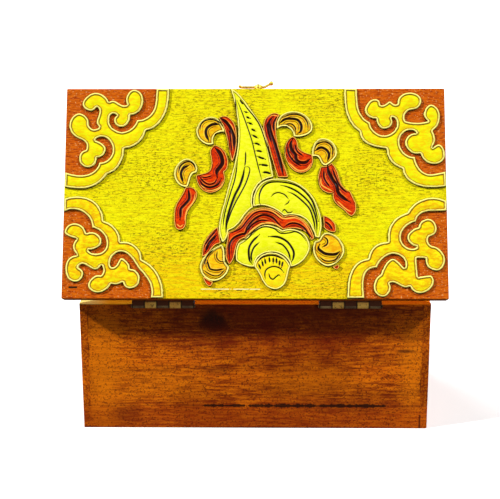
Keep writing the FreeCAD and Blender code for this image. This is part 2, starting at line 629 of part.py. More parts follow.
turn = math.radians(LID_OPEN_DEG)
for label, y, z in (("hinge pin", PIN_Y, PIN_Z), ("hook post", HOOK_Y, HOOK_Z)):
    dy, dz = y - PIN_Y, z - PIN_Z
    at_rest = (PIN_Y + dy * math.cos(turn) + dz * math.sin(turn),
               PIN_Z - dy * math.sin(turn) + dz * math.cos(turn))
    print(f"{label} line, lid open: y {at_rest[0]:.4f}, z {at_rest[1]:.4f}")
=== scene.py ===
"""The looks of a painted keepsake box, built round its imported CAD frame.

Lengths in this script are metres unless a name ends in _MM. Everything on the lid is drawn with
the lid closed and level, then swung to where the lid stands at rest. A place on the lid's face
is (across, up) in millimetres as seen from behind with the lid open: across grows towards -X
from the middle, and up is the distance from the hinged edge.
"""

import json
import math

import bpy
import numpy as np
from mathutils import Matrix, Vector, geometry, noise


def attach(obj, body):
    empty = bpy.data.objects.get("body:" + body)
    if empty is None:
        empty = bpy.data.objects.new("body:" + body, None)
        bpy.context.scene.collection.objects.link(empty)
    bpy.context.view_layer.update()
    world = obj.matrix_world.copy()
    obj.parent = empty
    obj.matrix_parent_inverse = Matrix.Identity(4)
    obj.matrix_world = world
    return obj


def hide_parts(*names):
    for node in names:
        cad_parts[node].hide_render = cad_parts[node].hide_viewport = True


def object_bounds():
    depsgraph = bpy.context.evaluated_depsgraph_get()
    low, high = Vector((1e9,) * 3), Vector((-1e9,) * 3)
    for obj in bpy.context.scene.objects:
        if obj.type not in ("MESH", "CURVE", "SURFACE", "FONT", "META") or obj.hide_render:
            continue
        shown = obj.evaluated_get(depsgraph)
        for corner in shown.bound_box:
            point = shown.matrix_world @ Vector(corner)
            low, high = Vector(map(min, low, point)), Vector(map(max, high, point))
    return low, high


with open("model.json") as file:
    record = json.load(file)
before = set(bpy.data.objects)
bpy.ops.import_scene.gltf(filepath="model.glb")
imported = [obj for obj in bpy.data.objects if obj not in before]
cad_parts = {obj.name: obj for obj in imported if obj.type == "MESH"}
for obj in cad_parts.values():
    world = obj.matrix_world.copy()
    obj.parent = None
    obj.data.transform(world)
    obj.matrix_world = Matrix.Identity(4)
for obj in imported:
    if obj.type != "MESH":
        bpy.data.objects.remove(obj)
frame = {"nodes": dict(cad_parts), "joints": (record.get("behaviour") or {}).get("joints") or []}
CAD_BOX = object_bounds()

MM = 0.001
JOINTS = {j["name"]: j for j in frame["joints"]}
LID = JOINTS["lid_hinge"]
PIN = Vector(LID["pos_m"])
OPEN_ANGLE = math.radians(LID["range_deg"][1])  # from the closed lid to the lid at rest
SWING = Matrix.Rotation(-OPEN_ANGLE, 4, Vector(LID["axis"]))
TO_REST = Matrix.Translation(PIN) @ SWING @ Matrix.Translation(-PIN)
TO_CLOSED = TO_REST.inverted()


def closed_points(node):
    """A lid node's vertices with the lid closed, as an array in metres."""
    mesh = frame["nodes"][node].data
    return np.array([TO_CLOSED @ v.co for v in mesh.vertices])


BOARD = closed_points("lid_board")
LID_LOW, LID_HIGH = Vector(BOARD.min(0)), Vector(BOARD.max(0))
LID_TOP = LID_HIGH.z
DRAWN_DEPTH_MM = 110.0  # the ornament is drawn on a lid this deep
UP_SCALE = (LID_HIGH.y - LID_LOW.y) / DRAWN_DEPTH_MM


def on_lid(across, up):
    """The closed-lid X and Y, in metres, of a drawn point."""
    return -across * MM, LID_HIGH.y - up * UP_SCALE


BASE_TOP = max(v.co.z for v in frame["nodes"]["base_board"].data.vertices)
BACK_WALL = [v.co for v in frame["nodes"]["back_wall"].data.vertices]
WALL_TOP = max(p.z for p in BACK_WALL)
WALL_BACK = max(p.y for p in BACK_WALL)
WALL_END = max(p.x for p in BACK_WALL if p.y > WALL_BACK - 0.5 * MM)

# ---- Camera, light and floor ----


def make_camera():
    """Behind the box, a little above it, looking slightly down."""
    lens_mm, sensor_mm = 80.7, 36.0
    place = Vector((-0.0064, 0.6182, 0.2428))
    turn, dip, roll = math.radians(0.901), math.radians(14.266), math.radians(-0.153)
    ahead = Vector((math.sin(turn) * math.cos(dip), -math.cos(turn) * math.cos(dip), -math.sin(dip)))
    data = bpy.data.cameras.new("camera")
    data.lens, data.sensor_width = lens_mm, sensor_mm
    camera = bpy.data.objects.new("camera", data)
    camera.location = place
    camera.rotation_mode = "QUATERNION"
    camera.rotation_quaternion = ahead.to_track_quat("-Z", "Y")
    camera.rotation_quaternion @= Matrix.Rotation(roll, 4, "Z").to_quaternion()
    bpy.context.scene.collection.objects.link(camera)
    bpy.context.scene.camera = camera


def soft_light(name, towards, strength, spread_deg):
    """A far, soft light that stands in the direction towards and shines at the box."""
    data = bpy.data.lights.new(name, "SUN")
    data.energy, data.angle = strength, math.radians(spread_deg)
    light = bpy.data.objects.new(name, data)
    light.location = Vector(towards).normalized()
    light.rotation_mode = "QUATERNION"
    light.rotation_quaternion = (-light.location).to_track_quat("-Z", "Y")
    bpy.context.scene.collection.objects.link(light)


def make_studio():
    """Four far lights, the strongest from +X behind the box, in a white room."""
    soft_light("left_light", (0.72, 0.25, 0.645), 3.45, 3.0)
    soft_light("right_light", (-0.62, 0.31, 0.715), 2.25, 6.0)
    soft_light("low_light", (-0.55, 0.82, 0.16), 0.42, 20.0)
    soft_light("front_light", (0.45, -0.85, 0.28), 2.1, 20.0)
    # The room looks white, is less bright in reflections, and adds little light to the object
    world = bpy.data.worlds.new("studio")
    world.use_nodes = True
    nodes, links = world.node_tree.nodes, world.node_tree.links
    ray = nodes.new("ShaderNodeLightPath").outputs
    strength = 0.09
    for kind, more in (("Is Camera Ray", 0.91), ("Is Glossy Ray", 0.16)):
        add = nodes.new("ShaderNodeMath")
        add.operation = "MULTIPLY_ADD"
        links.new(ray[kind], add.inputs[0])
        add.inputs[1].default_value = more
        if isinstance(strength, float):
            add.inputs[2].default_value = strength
        else:
            links.new(strength, add.inputs[2])
        strength = add.outputs[0]
    back = nodes["Background"]
    back.inputs["Color"].default_value = (1.0, 1.0, 1.0, 1.0)
    links.new(strength, back.inputs["Strength"])
    bpy.context.scene.world = world
    bpy.context.scene.view_settings.view_transform = "Standard"


def make_floor():
    """A large pale sheet under the box."""
    half, low = 20.0, CAD_BOX[0].z
    corners = [(-half, -half, low), (half, -half, low), (half, half, low), (-half, half, low)]
    mesh = bpy.data.meshes.new("floor")
    mesh.from_pydata(corners, [], [(0, 1, 2, 3)])
    floor = bpy.data.objects.new("floor", mesh)
    bpy.context.scene.collection.objects.link(floor)
    paper = Material("pale_floor")
    cloud = paper.noise(paper.place(), 3.0, 2.0)
    tone = paper.ramp(cloud, [(0.3, (0.95, 0.95, 0.95)), (0.7, (1.0, 1.0, 1.0))])
    paper.shade(tone, 0.9, gloss=0.0)
    paper.shader.inputs["Emission Color"].default_value = (1.0, 1.0, 1.0, 1.0)
    paper.shader.inputs["Emission Strength"].default_value = 0.3
    floor.visible_diffuse = floor.visible_glossy = False
    floor.data.materials.append(paper.made)


# ---- Materials ----


class Material:
    """A short way to write a procedural material: each call adds a node and gives its output."""

    def __init__(self, name):
        self.made = bpy.data.materials.new(name)
        self.made.use_nodes = True
        self.tree = self.made.node_tree
        self.shader = self.tree.nodes["Principled BSDF"]

    def add(self, kind, **settings):
        node = self.tree.nodes.new(kind)
        for key, value in settings.items():
            setattr(node, key, value)
        return node

    def put(self, socket, value):
        """Links an output to a socket, or sets its number or colour."""
        if isinstance(value, bpy.types.NodeSocket):
            self.tree.links.new(value, socket)
        elif isinstance(value, (tuple, list)) and len(value) == 3 and len(socket.default_value) == 4:
            socket.default_value = (*value, 1.0)
        else:
            socket.default_value = value

    def math(self, operation, a, b=0.0, c=0.0, clamp=False):
        node = self.add("ShaderNodeMath", operation=operation, use_clamp=clamp)
        for socket, value in zip(node.inputs, (a, b, c)):
            self.put(socket, value)
        return node.outputs[0]

    def mix(self, share, a, b, blend="MIX"):
        node = self.add("ShaderNodeMix", data_type="RGBA", blend_type=blend)
        self.put(node.inputs[0], share)
        self.put(node.inputs[6], a)
        self.put(node.inputs[7], b)
        return node.outputs[2]

    def ramp(self, value, stops):
        """Colours or numbers by value: stops are (place, colour or number)."""
        node = self.add("ShaderNodeValToRGB")
        elements = node.color_ramp.elements
        while len(elements) < len(stops):
            elements.new(0.5)
        for element, (place, colour) in zip(elements, stops):
            element.position = place
            element.color = (*colour, 1.0) if isinstance(colour, tuple) else (colour,) * 3 + (1.0,)
        self.put(node.inputs[0], value)
        return node.outputs[0]

    def place(self, closed=False, scale=(1, 1, 1), move=(0, 0, 0)):
        """The point's own coordinates, with the lid closed when asked, then stretched by scale."""
        out = self.add("ShaderNodeTexCoord").outputs["Object"]
        if closed:
            node = self.add("ShaderNodeMapping", vector_type="POINT")
            node.inputs["Location"].default_value = TO_CLOSED.translation
            node.inputs["Rotation"].default_value = TO_CLOSED.to_euler()
            self.put(node.inputs["Vector"], out)
            out = node.outputs[0]
        if tuple(scale) != (1, 1, 1) or tuple(move) != (0, 0, 0):
            node = self.add("ShaderNodeMapping", vector_type="POINT")
            node.inputs["Location"].default_value = move
            node.inputs["Scale"].default_value = scale
            self.put(node.inputs["Vector"], out)
            out = node.outputs[0]
        return out

    def noise(self, place, scale, detail=4.0, rough=0.55, twist=0.0):
        node = self.add("ShaderNodeTexNoise")
        self.put(node.inputs["Vector"], place)
        node.inputs["Scale"].default_value = scale
        node.inputs["Detail"].default_value = detail
        node.inputs["Roughness"].default_value = rough
        node.inputs["Distortion"].default_value = twist
        return node.outputs[0]

    def number(self, name):
        """A number that the mesh carries at each vertex."""
        return self.add("ShaderNodeAttribute", attribute_name=name).outputs["Fac"]

    def split(self, place):
        node = self.add("ShaderNodeSeparateXYZ")
        self.put(node.inputs[0], place)
        return node.outputs

    def window(self, value, low, high, soft):
        """1 where value is between low and high, with edges soft wide."""
        rise = self.step(value, low, low + soft)
        fall = self.step(value, high, high + soft)
        return self.math("SUBTRACT", rise, fall, clamp=True)

    def step(self, value, low, high):
        node = self.add("ShaderNodeMapRange", interpolation_type="SMOOTHSTEP")
        for key, number in (("Value", value), ("From Min", low), ("From Max", high)):
            self.put(node.inputs[key], number)
        return node.outputs[0]

    def bump(self, height, strength, distance=0.0005):
        node = self.add("ShaderNodeBump")
        node.inputs["Strength"].default_value = strength
        node.inputs["Distance"].default_value = distance
        self.put(node.inputs["Height"], height)
        return node.outputs[0]

    def shade(self, colour, rough, normal=None, metal=0.0, gloss=0.5):
        self.put(self.shader.inputs["Base Color"], colour)
        self.put(self.shader.inputs["Roughness"], rough)
        self.shader.inputs["Metallic"].default_value = metal
        self.put(self.shader.inputs["Specular IOR Level"], gloss)
        if normal is not None:
            self.put(self.shader.inputs["Normal"], normal)
        return self.made


def varnished_wood(name, along, seed, back=False):
    """Orange-brown varnish over wood whose grain runs along an axis: 0 is X, 1 is Y, 2 is Z."""
    m = Material(name)
    light, dark = (0.90, 0.160, 0.002), (0.22, 0.019, 0.001)
    stretch = [120.0, 120.0, 120.0]
    stretch[along] = 7.0
    fine = [800.0, 800.0, 800.0]
    fine[along] = 90.0
    grain = m.noise(m.place(scale=stretch, move=(seed, seed * 2, seed * 3)), 1.0, 5.0, 0.62, 0.8)
    fibre = m.noise(m.place(scale=fine, move=(seed, 0, seed)), 1.0, 4.0, 0.7)
    cloud = m.noise(m.place(move=(seed, seed, 0)), 30.0, 3.0, 0.5)
    speck = m.noise(m.place(move=(0, seed, 0)), 1300.0, 3.0, 0.6)
    middle = tuple(0.5 * (a + b) for a, b in zip(light, dark))
    body = m.ramp(grain, [(0.3, dark), (0.5, middle), (0.7, light)])
    body = m.mix(m.ramp(fibre, [(0.44, 0.0), (0.66, 0.9)]), body, (1.0, 0.25, 0.002))
    body = m.mix(m.ramp(fibre, [(0.34, 0.75), (0.52, 0.0)]), body, tuple(0.5 * c for c in dark))
    body = m.mix(m.ramp(cloud, [(0.38, 0.45), (0.6, 0.0)]), body, tuple(0.7 * c for c in dark))
    body = m.mix(m.ramp(speck, [(0.55, 0.0), (0.66, 0.75)]), body, (0.10, 0.012, 0.001))
    if back:
        body = wall_stains_and_lid_shadow(m, body, speck)
    # The rim that the lid shuts on is rubbed bare, and painted paler most of all at the back near +X, a
    # painted highlight where light falls along it
    x, y, z = m.split(m.place())
    corner_highlight = m.math("MULTIPLY", m.step(x, 0.03, 0.065), m.step(y, 0.03, 0.05))
    palest_highlight = m.math("MULTIPLY", m.step(x, 0.076, 0.088), m.step(y, 0.03, 0.05))
    bare = m.mix(m.ramp(fibre, [(0.35, 0.0), (0.65, 1.0)]), (0.90, 0.17, 0.004), (1.0, 0.32, 0.008))
    bare = m.mix(corner_highlight, bare, (1.0, 0.52, 0.02))
    bare = m.mix(palest_highlight, bare, (1.0, 0.86, 0.24))
    rim = m.step(z, WALL_TOP - 0.5 * MM, WALL_TOP - 0.05 * MM)
    body = m.mix(rim, body, bare)
    gloss = m.math("MULTIPLY", m.math("SUBTRACT", 1.0, rim), 0.12)
    height = m.math("ADD", m.math("MULTIPLY", fibre, 0.7), m.math("MULTIPLY", speck, 0.3))
    return m.shade(body, m.ramp(cloud, [(0.3, 0.4), (0.7, 0.55)]), m.bump(height, 0.3), gloss=gloss)


def wall_stains_and_lid_shadow(m, body, speck):
    """The stains of the back, three of them also a painted shadow of the open lid: (X, Z, half width,
    half height, strength, colour), lengths in millimetres, then the redder foot, the light ends and the
    dark joint over the base."""
    x, _, z = m.split(m.place())
    wave = m.noise(m.place(), 90.0, 4.0, 0.65)
    knot, soot, honey = (0.016, 0.004, 0.002), (0.05, 0.006, 0.002), (1.0, 0.26, 0.002)
    for mark_x, mark_z, wide, high, strength, colour in (
        # Painted shadow: the first two marks and the one at X 30, Z 51 darken the top of the wall where
        # the open lid's shadow falls, over some real staining
        (-8.0, 68.0, 80.0, 20.0, 0.85, (0.13, 0.008, 0.001)),
        (-24.0, 51.0, 62.0, 11.0, 0.5, (0.22, 0.014, 0.001)),
        (80.0, 34.0, 15.0, 44.0, 0.55, honey),
        (-84.0, 34.0, 9.0, 30.0, 0.45, honey),
        (52.0, 26.0, 26.0, 12.0, 0.35, honey),
        (-30.0, 27.0, 34.0, 9.0, 0.25, honey),
        (22.0, 61.0, 10.0, 8.5, 0.9, knot),
        (68.0, 8.0, 11.0, 6.0, 0.6, soot),
        (20.0, 33.0, 8.0, 3.0, 0.4, soot),
        (-80.0, 44.0, 5.0, 1.2, 0.7, knot),
        (30.0, 51.0, 34.0, 9.0, 0.5, (0.18, 0.012, 0.001)),
        (-50.0, 13.0, 40.0, 5.0, 0.4, soot),
    ):
        dx = m.math("DIVIDE", m.math("SUBTRACT", x, mark_x * MM), wide * MM)
        dz = m.math("DIVIDE", m.math("SUBTRACT", z, mark_z * MM), high * MM)
        far = m.math("SQRT", m.math("ADD", m.math("MULTIPLY", dx, dx), m.math("MULTIPLY", dz, dz)))
        far = m.math("ADD", far, m.math("MULTIPLY", m.math("SUBTRACT", wave, 0.5), 1.8))
        share = m.math("MULTIPLY", m.math("SUBTRACT", 1.0, m.step(far, 0.2, 1.25)), strength)
        body = m.mix(share, body, colour)
    body = m.mix(m.math("MULTIPLY", m.step(z, 20 * MM, 7 * MM), 0.4), body, (0.42, 0.045, 0.002))
    body = m.mix(m.ramp(speck, [(0.53, 0.0), (0.66, 0.7)]), body, (0.12, 0.012, 0.001))
    # The open crack between wall and base, painted near black as the shade inside the gap, with dirt:
    # open and ragged in the middle, a thin line beyond
    ragged = m.noise(m.place(scale=(160, 0, 0)), 1.0, 4.0, 0.7)
    whole_part = m.window(x, 3 * MM, 5 * MM, MM)
    open_part = m.math("SUBTRACT", m.window(x, -71 * MM, 26 * MM, 3 * MM), whole_part)
    middle = m.math("MULTIPLY", open_part, m.ramp(ragged, [(0.4, 0.2), (0.56, 1.0)]))
    thick = m.math("MULTIPLY", m.step(x, 8 * MM, MM), 0.35 * MM)
    width = m.math("MULTIPLY_ADD", middle, m.math("ADD", thick, 0.85 * MM), 0.08 * MM)
    sag = m.math("MULTIPLY_ADD", m.math("SUBTRACT", ragged, 0.5), 0.7 * MM, BASE_TOP)
    off = m.math("ABSOLUTE", m.math("SUBTRACT", z, sag))
    crack_shade_mask = m.math("SUBTRACT", 1.0, m.step(m.math("DIVIDE", off, width), 0.6, 1.3))
    body = m.mix(m.math("MULTIPLY", crack_shade_mask, 0.92), body, (0.012, 0.002, 0.001))
    # Broken dark line where the back wall meets each end wall
    joint = m.math("ABSOLUTE", m.math("SUBTRACT", m.math("ABSOLUTE", x), WALL_END))
    joint = m.math("SUBTRACT", 1.0, m.step(joint, 0.2 * MM, 0.7 * MM))
    broken = m.ramp(m.noise(m.place(scale=(30, 30, 130)), 1.0, 3.0, 0.6), [(0.48, 0.0), (0.56, 1.0)])
    joint = m.math("MULTIPLY", m.math("MULTIPLY", joint, broken), 0.85)
    return m.mix(joint, body, (0.06, 0.004, 0.001))


# Colours of the lid's paints
LEMON = (0.87, 0.82, 0.001)
LEMON_DEEP = (0.87, 0.71, 0.001)
CREAM = (1.0, 0.91, 0.22)
GROUND = (0.55, 0.085, 0.001)
INK = (0.006, 0.003, 0.001)

# How far the ground reaches from a corner of the lid, in millimetres, by direction: 0 is along
# the lid and 1 is down it. The raised bands cover its rim.
GROUND_REACH = (
    (0.0, 50.0), (0.14, 50.0), (0.28, 46.0), (0.31, 45.4), (0.40, 45.2), (0.48, 42.5),
    (0.54, 43.0), (0.62, 45.0), (0.69, 45.6), (0.78, 49.5), (0.86, 50.5), (1.0, 49.5),
)


def lid_paint():
    """Lemon paint with worn grain, brown-red grounds in the corners and bare red-brown edges."""
    m = Material("painted_lid")
    closed = m.place(closed=True)
    x, y, z = m.split(closed)
    long_grain = m.noise(m.place(closed=True, scale=(110, 1000, 1000)), 1.0, 4.0, 0.66)
    dashes = m.noise(m.place(closed=True, scale=(330, 1700, 1700), move=(3, 0, 0)), 1.0, 3.0, 0.6)
    specks = m.noise(m.place(closed=True, move=(1, 2, 0)), 1000.0, 3.0, 0.65)
    patch = m.noise(m.place(closed=True, move=(5, 1, 0)), 26.0, 4.0, 0.6)
    across = m.math("MULTIPLY", x, -1 / MM)
    up = m.math("DIVIDE", m.math("SUBTRACT", LID_HIGH.y, y), UP_SCALE)
    field = m.mix(m.ramp(patch, [(0.38, 0.0), (0.62, 0.8)]), LEMON, LEMON_DEEP)
    field = m.mix(m.ramp(long_grain, [(0.52, 0.0), (0.68, 0.75)]), field, (0.94, 0.90, 0.004))
    field = m.mix(m.ramp(long_grain, [(0.32, 0.75), (0.5, 0.0)]), field, (0.64, 0.43, 0.001))
    golden = m.math("MULTIPLY", m.step(up, 38.0, 10.0), m.ramp(long_grain, [(0.4, 0.85), (0.6, 0.3)]))
    field = m.mix(golden, field, (0.86, 0.50, 0.001))
    # Where the paint is worn through most: (across, up, half width, half height, strength)
    worn = m.ramp(patch, [(0.4, 0.3), (0.66, 0.8)])
    for mark_across, mark_up, wide, high, strength in (
        (-52.0, 66.0, 30.0, 17.0, 0.75), (60.0, 64.0, 22.0, 13.0, 0.8), (-34.0, 96.0, 18.0, 8.0, 0.5),
        (50.0, 40.0, 14.0, 8.0, 0.5), (-50.0, 42.0, 14.0, 8.0, 0.35),
    ):
        dx = m.math("DIVIDE", m.math("SUBTRACT", across, mark_across), wide)
        dy = m.math("DIVIDE", m.math("SUBTRACT", up, mark_up), high)
        far = m.math("SQRT", m.math("ADD", m.math("MULTIPLY", dx, dx), m.math("MULTIPLY", dy, dy)))
        share = m.math("MULTIPLY", m.math("SUBTRACT", 1.0, m.step(far, 0.3, 1.3)), strength)
        worn = m.math("MAXIMUM", worn, share)
    lines = m.math("MULTIPLY", m.ramp(dashes, [(0.52, 0.0), (0.62, 1.0)]), worn)
    field = m.mix(lines, field, (0.10, 0.07, 0.001))
    dots = m.math("MULTIPLY", m.ramp(specks, [(0.56, 0.0), (0.64, 1.0)]), worn)
    field = m.mix(dots, field, (0.09, 0.06, 0.001))
    # A scratched line near the hinged edge, dark with a pale painted highlight along it, and a short one
    # by the corner
    broken = m.noise(m.place(closed=True, scale=(200, 0, 0)), 1.0, 2.0)
    scratched = m.window(across, -28.0, 2.5, 0.6)
    for low, rare, colour in ((4.7, 0.42, (1.0, 0.95, 0.45)), (4.1, 0.54, (0.02, 0.012, 0.002))):
        line = m.math("MULTIPLY", scratched, m.window(up, low, low + 0.4, 0.3))
        line = m.math("MULTIPLY", line, m.step(broken, rare, rare + 0.03))
        field = m.mix(line, field, colour)
    ground = m.mix(m.ramp(long_grain, [(0.35, 0.0), (0.7, 0.8)]), GROUND, (0.72, 0.17, 0.003))
    ground = m.mix(m.ramp(dashes, [(0.48, 0.0), (0.64, 0.8)]), ground, (0.20, 0.012, 0.001))
    ground = m.mix(m.ramp(specks, [(0.6, 0.0), (0.68, 0.85)]), ground, (0.90, 0.42, 0.14))
    nick = m.math("MULTIPLY", m.window(across, -96.5, -92.0, 0.4), m.window(up, 5.2, 6.2, 0.3))
    ground = m.mix(nick, ground, (0.03, 0.01, 0.002))
    middle_y = (LID_LOW.y + LID_HIGH.y) / 2
    from_x = m.math("SUBTRACT", LID_HIGH.x, m.math("ABSOLUTE", x))
    from_middle = m.math("ABSOLUTE", m.math("SUBTRACT", y, middle_y))
    from_y = m.math("SUBTRACT", (LID_HIGH.y - LID_LOW.y) / 2, from_middle)
    far = m.math("SQRT", m.math("ADD", m.math("POWER", from_x, 2.0), m.math("POWER", from_y, 2.0)))
    turn = m.math("DIVIDE", m.math("ARCTAN2", from_y, from_x), math.pi / 2)
    reach = m.ramp(turn, [(at, reach / 100) for at, reach in GROUND_REACH])
    top = m.mix(m.math("LESS_THAN", far, m.math("MULTIPLY", reach, 0.1)), field, ground)
    edge = m.ramp(long_grain, [(0.35, 0.0), (0.7, 0.6)])
    edge = m.mix(edge, (0.50, 0.07, 0.002), (0.80, 0.28, 0.004))
    colour = m.mix(m.step(z, LID_TOP - 0.7 * MM, LID_TOP - 0.2 * MM), edge, top)
    height = m.math("SUBTRACT", m.math("MULTIPLY", long_grain, 0.6), m.math("MULTIPLY", lines, 0.5))
    return m.shade(colour, m.ramp(patch, [(0.3, 0.46), (0.7, 0.6)]), m.bump(height, 0.35), gloss=0.06)


def relief_paint(name, body, shade, edge=CREAM, rim=(0.20, 0.05, 0.002), rim_at=1.15,
                 rim_wide=0.3, deep=INK, glint=(1.0, 0.90, 0.50)):
    """Paint for raised ornament. The mesh carries each point's distance from the outline in
    millimetres, how much ink it has, and how much light rim."""
    m = Material(name)
    closed = m.place(closed=True)
    wobble = m.noise(closed, 520.0, 3.0, 0.6)
    patch = m.noise(m.place(closed=True, scale=(300, 700, 700)), 1.0, 4.0, 0.65)
    fleck = m.noise(m.place(closed=True, move=(2, 1, 0)), 1300.0, 3.0, 0.6)
    inner = m.math("ADD", m.number("inner"), m.math("MULTIPLY", m.math("SUBTRACT", wobble, 0.5), 0.8))
    colour = m.mix(m.ramp(patch, [(0.42, 0.0), (0.6, 1.0)]), body, shade)
    colour = m.mix(m.math("MULTIPLY", m.ramp(fleck, [(0.56, 0.0), (0.66, 1.0)]), 0.6), colour, shade)
    line = m.window(inner, rim_at - rim_wide / 2, rim_at + rim_wide / 2, 0.25)
    colour = m.mix(m.math("MULTIPLY", line, 0.75), colour, rim)
    colour = m.mix(m.step(inner, rim_at, rim_at - 0.3), colour, edge)
    colour = m.mix(m.step(m.number("light"), 0.3, 0.7), colour, glint)
    colour = m.mix(m.step(m.number("ink"), 0.22, 0.5), colour, deep)
    # Painted shade at the foot of the relief where it meets the board, with some dark wash settled there
    colour = m.mix(m.step(inner, 0.34, 0.16), colour, (0.035, 0.010, 0.001))
    return m.shade(colour, m.ramp(patch, [(0.3, 0.32), (0.7, 0.46)]), m.bump(wobble, 0.12), gloss=0.08)


def old_brass(name, bright, dull, seed, metal=1.0, hinge=None):
    """Brass with dark spots and fine scratches all over; on hinges, the stains and dark joints of
    hinge_grime.
    """
    m = Material(name)
    spots = m.noise(m.place(move=(seed, 0, 0)), 500.0, 5.0, 0.65)
    film = m.noise(m.place(move=(0, seed, 0)), 120.0, 3.0)
    lines = m.noise(m.place(scale=(300, 4000, 4000), move=(seed, 0, 0)), 1.0, 2.0)
    colour = m.mix(m.ramp(film, [(0.35, 0.0), (0.65, 1.0)]), dull, bright)
    colour = m.mix(m.ramp(spots, [(0.52, 0.0), (0.68, 0.85)]), colour, (0.07, 0.035, 0.01))
    if hinge:
        colour = hinge_grime(m, colour, hinge)
    rough = m.ramp(spots, [(0.3, 0.24), (0.7, 0.55)])
    return m.shade(colour, rough, m.bump(m.math("ADD", lines, spots), 0.2, 0.0002), metal=metal)


KNUCKLE = 6.44 * MM  # how far the hinge's joints stand apart


def hinge_grime(m, colour, body):
    """Hinges are stained brown away from the knuckles, with dark joints between these. The lid
    has the second and the fourth of the five knuckles."""
    x, y, z = m.split(m.place())
    dy, dz = m.math("SUBTRACT", y, PIN.y), m.math("SUBTRACT", z, PIN.z)
    far = m.math("SQRT", m.math("ADD", m.math("MULTIPLY", dy, dy), m.math("MULTIPLY", dz, dz)))
    stain = m.step(far, 2.1 * MM, 2.9 * MM)
    pins = [frame["nodes"][f"{side}_hinge_pin"].data.vertices for side in ("left", "right")]
    middles = [(min(v.co.x for v in pin) + max(v.co.x for v in pin)) / 2 for pin in pins]
    between, half = sum(middles) / 2, (middles[1] - middles[0]) / 2
    from_middle = m.math("SUBTRACT", m.math("ABSOLUTE", m.math("SUBTRACT", x, between)), half)
    along = m.math("MULTIPLY_ADD", from_middle, 1 / KNUCKLE, 2.5)
    if body == "lid":
        others = m.math("LESS_THAN", m.math("FRACT", m.math("MULTIPLY", along, 0.5)), 0.5)
        stain = m.math("MAXIMUM", stain, others)
    colour = m.mix(stain, colour, (0.10, 0.025, 0.006))
    from_joint = m.math("ABSOLUTE", m.math("SUBTRACT", m.math("FRACT", m.math("ADD", along, 0.5)), 0.5))
    grime = m.math("SUBTRACT", 1.0, m.step(from_joint, 0.03, 0.09))
    return m.mix(m.math("MULTIPLY", grime, 0.9), colour, (0.02, 0.01, 0.004))


# ---- Raised ornament ----


def smooth(t):
    t = np.clip(t, 0.0, 1.0)
    return t * t * (3 - 2 * t)


def top_loops(node):
    """The outlines of a plate's upper face, closed lid, as lists of (x, y) in metres."""
    points = closed_points(node)
    mesh = frame["nodes"][node].data
    top = points[:, 2].max()
    key = [tuple(p) for p in np.round(points[:, :2] / 1e-6).astype(int)]
    sides = {}
    for face in mesh.polygons:
        corners = list(face.vertices)
        if min(points[i, 2] for i in corners) < top - 1e-5:
            continue
        for a, b in zip(corners, corners[1:] + corners[:1]):
            sides[(key[a], key[b])] = True
    follow = {a: b for a, b in sides if (b, a) not in sides}
    loops = []
    while follow:
        start, here = next(iter(follow.items()))
        loop = [start]
        del follow[start]
        while here != start:
            loop.append(here)
            here = follow.pop(here)
        loops.append(np.array(loop) * 1e-6)
    return loops


def even(points, gap, closed=True):
    """The same line with points gap apart, or a little less."""
    points = np.asarray(points, float)
    if closed:
        points = np.vstack([points, points[:1]])
    run = np.concatenate([[0], np.cumsum(np.linalg.norm(np.diff(points, axis=0), axis=1))])
    count = max(3, int(math.ceil(run[-1] / gap)))
    at = np.linspace(0, run[-1], count + (0 if closed else 1), endpoint=not closed)
    return np.stack([np.interp(at, run, points[:, i]) for i in (0, 1)], axis=1)


def smooth_line(points, gap):
    """A smooth line through a few drawn points, as an array with points gap apart."""
    p = [np.array(q, float) for q in points]
    p = [2 * p[0] - p[1]] + p + [2 * p[-1] - p[-2]]
    out = []
    for a, b, c, d in zip(p, p[1:], p[2:], p[3:]):
        for t in np.linspace(0, 1, 12, endpoint=False):
            out.append(0.5 * (2 * b + (c - a) * t + (2 * a - 5 * b + 4 * c - d) * t**2
                              + (3 * b - 3 * c + d - a) * t**3))
    out.append(p[-2])
    return even(out, gap, closed=False)


def distance_to(points, line, closed=True):
    """How far each point is from a line of short straight pieces."""
    a = line if closed else line[:-1]
    b = np.roll(line, -1, axis=0) if closed else line[1:]
    best = np.full(len(points), 1e9)
    d = b - a
    size = np.maximum((d**2).sum(1), 1e-18)
    for start in range(0, len(points), 2000):
        p = points[start:start + 2000, None, :]
        t = np.clip(((p - a) * d).sum(2) / size, 0, 1)
        gap = np.linalg.norm(p - (a + t[..., None] * d), axis=2)
        best[start:start + 2000] = gap.min(1)
    return best


def inside(points, loop):
    """Which points lie inside a closed line."""
    x, y = points[:, 0], points[:, 1]
    found = np.zeros(len(points), bool)
    for (ax, ay), (bx, by) in zip(loop, np.roll(loop, -1, axis=0)):
        crosses = (ay > y) != (by > y)
        with np.errstate(divide="ignore", invalid="ignore"):
            found ^= crosses & (x < (bx - ax) * (y - ay) / (by - ay) + ax)
    return found


def beside(line, offset, closed=True):
    """The line moved sideways by offset, to its left."""
    ahead = np.roll(line, -1, axis=0) - np.roll(line, 1, axis=0) if closed else np.gradient(line, axis=0)
    ahead /= np.maximum(np.linalg.norm(ahead, axis=1), 1e-12)[:, None]
    return line + np.stack([-ahead[:, 1], ahead[:, 0]], axis=1) * offset


